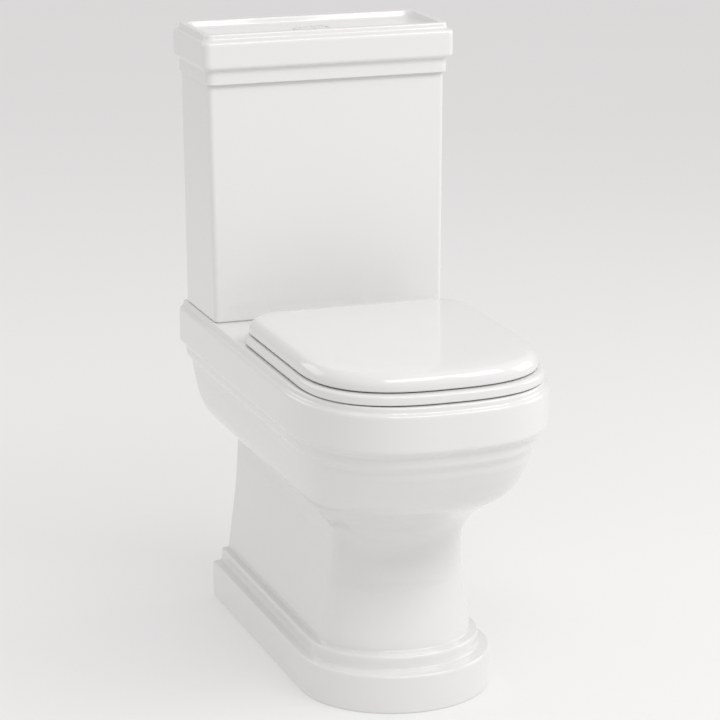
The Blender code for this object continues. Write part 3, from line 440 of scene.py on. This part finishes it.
def make_pan():
    """The whole casting: outside, hollow underneath, bowl, trap and flush duct, then the drilled holes."""
    pan = skin("pan_china", pedestal_rings() + neck_rings() + bowl_rings() + band_rings())
    hollow = skin("hollow", [dee(half, end, front, z, 2.2, -0.02) for half, end, front, z in (
        (0.095, 0.405, 0.488, -0.01), (0.095, 0.405, 0.488, 0.072), (0.080, 0.400, 0.468, 0.200),
        (0.080, 0.400, 0.468, 0.245), (0.128, 0.440, 0.545, 0.297), (0.144, 0.460, 0.598, 0.345),
        (0.154, 0.470, 0.616, 0.380), (0.163, 0.480, 0.636, 0.400), (0.163, 0.480, 0.636, SHELF_Z - 0.014))])
    horn = slab("horn", (-0.048, WALL_Y - 0.300, 0.385), (0.048, WALL_Y - 0.030, SHELF_Z - 0.0125), 0.004)
    steps = cuts(hollow)
    steps += joins(bowl_solid("bowl_shell", BOWL_SHELL), trap_solid("trap_shell", TRAP_R, 0.345, 0.030), horn)
    steps += cuts(bowl_solid("bowl_cavity", 0.0), trap_solid("trap_bore", WATERWAY_R, 0.352, 0.015))
    steps += cuts(slab("duct", (-0.036, WALL_Y - 0.290, 0.396), (0.036, WALL_Y - 0.046, 0.432)),
                  hole("inlet", INLET_R, 0, VALVE_BACK, 0.41, 0.47, 64),
                  hole("supply", SUPPLY_R, FILL_X, VALVE_BACK, *SHELF_CUT))
    for side in (-1, 1):
        steps += cuts(hole(f"bolt{side}", BOLT_HOLE_R, side * BOLT_X, VALVE_BACK, *SHELF_CUT, 24),
                      hole(f"hinge{side}", BOLT_HOLE_R, side * HINGE_X, HINGE_BACK, 0.40, 0.47, 24))
    return smooth(carve(pan, steps))


# ---------------------------------------------------------------- cistern and its lid

def make_cistern():
    low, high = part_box("cistern")
    path = rounded_path([
        (0.1680, 0.1492, low.z, 0), (0.1695, 0.1507, low.z + 0.0015, 0.001),
        (0.1735, 0.1443, high.z - 0.001, 0.001), (0.1725, 0.1433, high.z, 0)], 4)
    body = skin("cistern_china", [rounded_rectangle(h, CISTERN_BACK, f, z, 0.007) for h, f, z in path])
    inside = skin("inside", [rounded_rectangle(h, INNER_BACK, f, z, 0.011) for h, f, z in rounded_path([
        (0.1555, 0.1367, 0.4930, 0), (0.1595, 0.1407, 0.4930, 0.006),
        (0.1635, 0.1343, high.z + 0.01, 0)], 5)])
    recess = skin("recess", [rounded_rectangle(0.1595, INNER_BACK, 0.1407, z, 0.009)
                             for z in (low.z - 0.01, 0.481)])
    steps = cuts(inside, recess, hole("outlet", OUTLET_R, 0, VALVE_BACK, *FLOOR_CUT, 64),
                 hole("fill", FILL_R, FILL_X, VALVE_BACK, *FLOOR_CUT))
    for side in (-1, 1):
        steps += cuts(hole(f"tie{side}", BOLT_HOLE_R, side * BOLT_X, VALVE_BACK, *FLOOR_CUT, 24),
                      lathe(f"screw{side}", [(WALL_HOLE_R, -0.02), (WALL_HOLE_R, 0.02)],
                            (side * WALL_HOLE_X, WALL_Y - CISTERN_BACK, WALL_HOLE_Z), 24, along="Y"))
    return smooth(carve(body, steps))


def make_cistern_lid():
    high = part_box("cistern_lid")[1]
    base = 0.7923
    path = rounded_path([
        (0.1760, 0.0055, 0.1505, base, 0), (0.1770, 0.0050, 0.1515, base + 0.001, 0.0008),
        (0.1770, 0.0050, 0.1515, 0.8125, 0.0045), (0.1815, 0.0020, 0.1575, 0.8142, 0.0030),
        (0.1835, 0.0000, 0.1603, 0.8180, 0.003), (0.1835, 0.0, 0.1603, 0.8523, 0.0058),
        (0.1780, 0.0105, 0.1498, 0.8540, 0.0038), (0.1774, 0.0113, 0.1485, high.z, 0.0030),
        (0.1740, 0.0150, 0.1450, high.z, 0)], 8)
    lid = skin("cistern_lid_china", [rounded_rectangle(h, b, f, z, 0.011, 12) for h, b, f, z in path])
    tray = skin("tray", [rounded_rectangle(h, b, f, z, 0.012) for h, b, f, z in rounded_path([
        (0.1560, 0.0320, 0.1270, 0.8520, 0), (0.1640, 0.0240, 0.1350, 0.8520, 0.005),
        (0.1685, 0.0200, 0.1395, high.z - 0.0002, 0.0025), (0.1705, 0.0185, 0.1412, high.z + 0.0004, 0.0006),
        (0.1705, 0.0185, 0.1412, high.z + 0.01, 0)], 7)])
    lip = skin("lip", [rounded_rectangle(h, 0.0215, f, z, 0.008) for h, f, z in (
        (0.1585, 0.1305, 0.7830), (0.1590, 0.1310, 0.7850), (0.1590, 0.1310, 0.7980))])
    hollow = skin("under", [rounded_rectangle(0.150, 0.030, 0.1225, z, 0.008) for z in (0.772, 0.841)])
    steps = cuts(tray) + joins(lip)
    steps += cuts(hollow, hole("button", BUTTON_HOLE_R, 0, VALVE_BACK, 0.83, 0.87, 64))
    return smooth(carve(lid, steps))


# ---------------------------------------------------------------- seat

def knuckles(x, low, high, reach):
    """A hinge barrel with its arm towards the seat, and the bore through it."""
    place = (x, WALL_Y - HINGE_BACK, HINGE_Z)
    barrel = lathe("barrel", [(0.0060, -KNUCKLE_HALF), (BARREL_R, -0.0072), (BARREL_R, 0.0072),
                              (0.0060, KNUCKLE_HALF)], place, 40, along="X")
    arm = slab("arm", (x - KNUCKLE_HALF, WALL_Y - reach, low),
               (x + KNUCKLE_HALF, WALL_Y - HINGE_BACK - 0.001, high), 0.001)
    bore = lathe("bore", [(PIN_BORE_R, -0.02), (PIN_BORE_R, 0.02)], place, 32, along="X")
    return joins(barrel, arm) + cuts(bore)


def make_seat_ring():
    low, high = RING_Z

    def outer(inset):
        return by_angle(seat_outline(0.165 - inset, 0.244 + inset, 0.641 - inset), SEAT_MIDDLE, SEAT_POINTS)

    def inner(grow):
        return by_angle(egg(0.108 + grow, 0.432, 0.140 + grow, 2.3), SEAT_MIDDLE, SEAT_POINTS)

    rings = []
    for inset, z in rounded_path([
            (0.016, low, 0), (0.0055, low, 0.001), (0.0045, RING_SKIRT_Z, 0.001), (0.0, RING_SKIRT_Z, 0.0022),
            (0.0, high, 0.0050), (0.016, high, 0)], 7):
        rings.append(level(outer(inset), z))
    for share in (0.25, 0.5, 0.75):
        rings.append(level(outer(0.016) * (1 - share) + inner(0.012) * share, high))
    for grow, z in rounded_path([
            (0.012, high, 0), (0.0, high, 0.0045), (0.0, low, 0.003), (0.008, low, 0)], 7):
        rings.append(level(inner(grow), z))
    ring = skin("seat_ring_gloss", rings, closed=True)
    steps = []
    for side in (-1, 1):
        steps += knuckles(side * (HINGE_X - KNUCKLE_STEP), low + 0.003, high - 0.001, 0.259)
    return smooth(carve(ring, steps))


def make_seat_cover():
    low, high = COVER_Z

    def outline(inset, z):
        plan = seat_outline(0.160 - inset, 0.246 + inset * 0.6, 0.630 - inset)
        return level(by_angle(plan, COVER_MIDDLE, SEAT_POINTS), z)

    ceiling = high - COVER_THICK
    rings = [outline(inset, z) for inset, z in rounded_path([
        (0.0060, low + 0.0006, 0), (0.0028, low, 0.0018), (0.0, low + 0.0015, 0.0015),
        (0.0, low + 0.0115, 0.006), (0.0070, high - 0.0030, 0.0065), (0.0300, high - 0.0003, 0.012),
        (0.060, high, 0)], 7)]
    rim = rings[-1]
    centre = np.array((0.0, WALL_Y - COVER_MIDDLE, high))
    rings += [centre + (rim - centre) * share for share in (0.75, 0.5, 0.25, 0.02)]
    under = [outline(inset, z) for inset, z in rounded_path([
        (0.0060, low + 0.0006, 0), (0.0062, low + 0.0060, 0.002), (0.0120, ceiling, 0.004),
        (0.050, ceiling, 0)], 5)][1:]
    centre = np.array((0.0, WALL_Y - COVER_MIDDLE, ceiling))
    under += [centre + (under[-1] - centre) * share for share in (0.6, 0.3, 0.02)]
    cover = skin("seat_cover_gloss", under[::-1] + rings)
    steps = []
    for side in (-1, 1):
        steps += knuckles(side * (HINGE_X + KNUCKLE_STEP), low + 0.0005, low + 0.006, 0.258)
    return smooth(carve(cover, steps))


# ---------------------------------------------------------------- materials

def build_material(name, colours, roughness, scale, bump, metallic=0.0, coat=0.0, fine=None,
                   grain=(1, 1, 1)):
    """A surface with soft colour drift, uneven gloss and a slight relief, all in the object's own space.

    colours, roughness: (low, high) of what the noise drives. fine: (scale, height) of a finer relief.
    grain: stretch of the noise along X, Y and Z, for brushed or moulded marks.
    """
    made = bpy.data.materials.new(name)
    made.use_nodes = True
    tree = made.node_tree
    nodes, links = tree.nodes, tree.links
    shader = nodes["Principled BSDF"]
    shader.inputs["Metallic"].default_value = metallic
    shader.inputs["Coat Weight"].default_value = coat
    shader.inputs["Coat Roughness"].default_value = 0.03
    place = nodes.new("ShaderNodeTexCoord")
    stretch = nodes.new("ShaderNodeMapping")
    stretch.inputs["Scale"].default_value = grain
    links.new(place.outputs["Object"], stretch.inputs["Vector"])

    def noise(size, detail):
        node = nodes.new("ShaderNodeTexNoise")
        node.inputs["Scale"].default_value = size
        node.inputs["Detail"].default_value = detail
        links.new(stretch.outputs["Vector"], node.inputs["Vector"])
        return node.outputs["Fac"]

    def between(fac, low, high):
        node = nodes.new("ShaderNodeMapRange")
        node.inputs["From Min"].default_value = 0.3
        node.inputs["From Max"].default_value = 0.7
        node.inputs["To Min"].default_value = low
        node.inputs["To Max"].default_value = high
        links.new(fac, node.inputs["Value"])
        return node.outputs["Result"]

    tint = nodes.new("ShaderNodeMix")
    tint.data_type = "RGBA"
    tint.inputs["A"].default_value = (*colours[0], 1)
    tint.inputs["B"].default_value = (*colours[1], 1)
    links.new(between(noise(scale * 0.12, 3), 0, 1), tint.inputs["Factor"])
    links.new(tint.outputs["Result"], shader.inputs["Base Color"])
    links.new(between(noise(scale * 0.5, 4), *roughness), shader.inputs["Roughness"])
    relief = nodes.new("ShaderNodeBump")
    relief.inputs["Strength"].default_value = 1.0
    relief.inputs["Distance"].default_value = bump
    links.new(noise(scale, 2), relief.inputs["Height"])
    last = relief
    if fine:
        second = nodes.new("ShaderNodeBump")
        second.inputs["Strength"].default_value = 1.0
        second.inputs["Distance"].default_value = fine[1]
        links.new(noise(fine[0], 3), second.inputs["Height"])
        links.new(relief.outputs["Normal"], second.inputs["Normal"])
        last = second
    links.new(last.outputs["Normal"], shader.inputs["Normal"])
    return made


def make_materials():
    """One surface for each material slot."""
    def made(name, low, high, roughness, **more):
        return build_material(name, (low, high), roughness, **more)

    moulded = {"scale": 160, "bump": 0.00006, "fine": (1800, 0.00002)}
    turned = {"metallic": 1.0, "scale": 260, "bump": 0.00004, "grain": (1, 1, 6)}
    return {
        "china": made("glazed_china", (0.757, 0.754, 0.749), (0.775, 0.772, 0.767), (0.07, 0.13),
                      coat=0.5, scale=14, bump=0.00006),
        "seat_plastic": made("seat_gloss", (0.760, 0.757, 0.753), (0.775, 0.772, 0.768), (0.10, 0.17),
                             coat=0.35, scale=16, bump=0.00004),
        "button_plastic": made("button_gloss", (0.75, 0.75, 0.745), (0.77, 0.77, 0.765), (0.12, 0.2),
                               coat=0.3, scale=80, bump=0.00004, fine=(1200, 0.000005)),
        "white_plastic": made("valve_plastic", (0.70, 0.71, 0.72), (0.76, 0.77, 0.775), (0.34, 0.46),
                              **moulded),
        "grey_plastic": made("grey_plastic", (0.33, 0.35, 0.37), (0.38, 0.40, 0.42), (0.36, 0.48), **moulded),
        "blue_plastic": made("blue_plastic", (0.045, 0.14, 0.38), (0.06, 0.17, 0.44), (0.32, 0.44),
                             **moulded),
        "black_rubber": made("black_rubber", (0.010, 0.010, 0.011), (0.020, 0.020, 0.021), (0.6, 0.8),
                             scale=220, bump=0.00012, fine=(2400, 0.00003)),
        "buffer_rubber": made("buffer_rubber", (0.56, 0.56, 0.55), (0.63, 0.63, 0.62), (0.5, 0.65),
                              scale=220, bump=0.00008, fine=(2400, 0.00002)),
        "chrome": made("chrome", (0.78, 0.79, 0.80), (0.84, 0.85, 0.86), (0.05, 0.12), metallic=1.0,
                       scale=120, bump=0.00002, fine=(2600, 0.000002)),
        "steel": made("bright_steel", (0.50, 0.50, 0.49), (0.60, 0.60, 0.59), (0.22, 0.38), **turned),
        "brass": made("turned_brass", (0.60, 0.42, 0.16), (0.70, 0.52, 0.22), (0.22, 0.40), **turned),
    }


def paint_cad_nodes(looks):
    """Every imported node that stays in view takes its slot's surface."""
    for row in frame["record"]["subparts"]:
        node = frame["nodes"][row["node"]]
        node.data.materials.clear()
        node.data.materials.append(looks[row["material_slot"]])


def place_piece(piece, body, slot, look, *nodes):
    piece.data.materials.clear()
    piece.data.materials.append(look)
    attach(piece, body)
    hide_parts(*nodes)


# ---------------------------------------------------------------- studio

def aim(thing, target):
    thing.rotation_mode = "QUATERNION"
    thing.rotation_quaternion = (Vector(target) - thing.location).to_track_quat("-Z", "Y")


def softbox(name, place, target, size, power, colour):
    data = bpy.data.lights.new(name, "AREA")
    data.shape = "RECTANGLE"
    data.size, data.size_y = size
    data.energy = power
    data.color = colour
    made = bpy.data.objects.new(name, data)
    made.location = place
    aim(made, target)
    bpy.context.scene.collection.objects.link(made)


def make_studio():
    """A wide pale floor with a little light of its own, an even sky and four soft boxes."""
    far = 14.0
    corners = ((-far, -far), (far, -far), (far, far), (-far, far))
    floor = skin("studio_floor", [np.array([(x, y, z) for x, y in corners]) for z in (-0.05, -0.0002)])
    pale = build_material("studio_paper", ((0.545, 0.545, 0.545), (0.560, 0.560, 0.560)), (0.75, 0.85),
                          scale=4, bump=0.0002)
    glow = pale.node_tree.nodes["Principled BSDF"]
    glow.inputs["Emission Color"].default_value = (1, 1, 1, 1)
    glow.inputs["Emission Strength"].default_value = 0.29
    floor.data.materials.append(pale)
    world = bpy.data.worlds.new("studio_air")
    bpy.context.scene.world = world
    world.use_nodes = True
    background = world.node_tree.nodes["Background"]
    background.inputs["Color"].default_value = (1.0, 0.980, 0.968, 1)
    background.inputs["Strength"].default_value = 0.69
    middle = (0, 0, 0.42)
    softbox("key_right", (1.6, -1.6, 2.6827), middle, (1.6, 1.2), 25, (1.0, 0.985, 0.975))
    softbox("front_high", (0, -2.0569, 2.8713), middle, (1.8, 1.2), 23.5, (0.985, 1.0, 1.0))
    softbox("side_right", (2.853, 0, 1.347), middle, (1.8, 1.6), 15, (1.0, 0.985, 0.97))
    softbox("back_left", (-2.098, 2.098, 1.6187), middle, (1.8, 1.4), 9, (1.0, 0.96, 0.93))


def make_camera():
    """The camera as it was fitted to the photo."""
    azimuth, pitch = math.radians(19.45), math.radians(15.13)
    ahead = Vector((math.sin(azimuth) * math.cos(pitch), math.cos(azimuth) * math.cos(pitch),
                    -math.sin(pitch)))
    right = Vector((math.cos(azimuth), -math.sin(azimuth), 0))
    turn = Matrix((right, right.cross(ahead), -ahead)).transposed().to_4x4()
    turn.translation = Vector((-1.32737, -3.71110, 1.49866))
    data = bpy.data.cameras.new("camera")
    data.sensor_width = 36
    data.lens = 149.42
    data.clip_end = 100
    camera = bpy.data.objects.new("camera", data)
    camera.matrix_world = turn
    bpy.context.scene.collection.objects.link(camera)
    bpy.context.scene.camera = camera


make_camera()
make_studio()
looks = make_materials()
paint_cad_nodes(looks)
place_piece(make_pan(), "pan_and_cistern", "china", looks["china"],
            "pan_body", "pan_bowl", "pan_trap", "pan_inlet")
place_piece(make_cistern(), "pan_and_cistern", "china", looks["china"], "cistern")
place_piece(make_cistern_lid(), "cistern_lid", "china", looks["china"], "cistern_lid")
place_piece(make_seat_ring(), "seat_ring", "seat_plastic", looks["seat_plastic"], "seat_ring")
place_piece(make_seat_cover(), "seat_cover", "seat_plastic", looks["seat_plastic"], "seat_cover")
bpy.context.scene.view_settings.view_transform = "Standard"
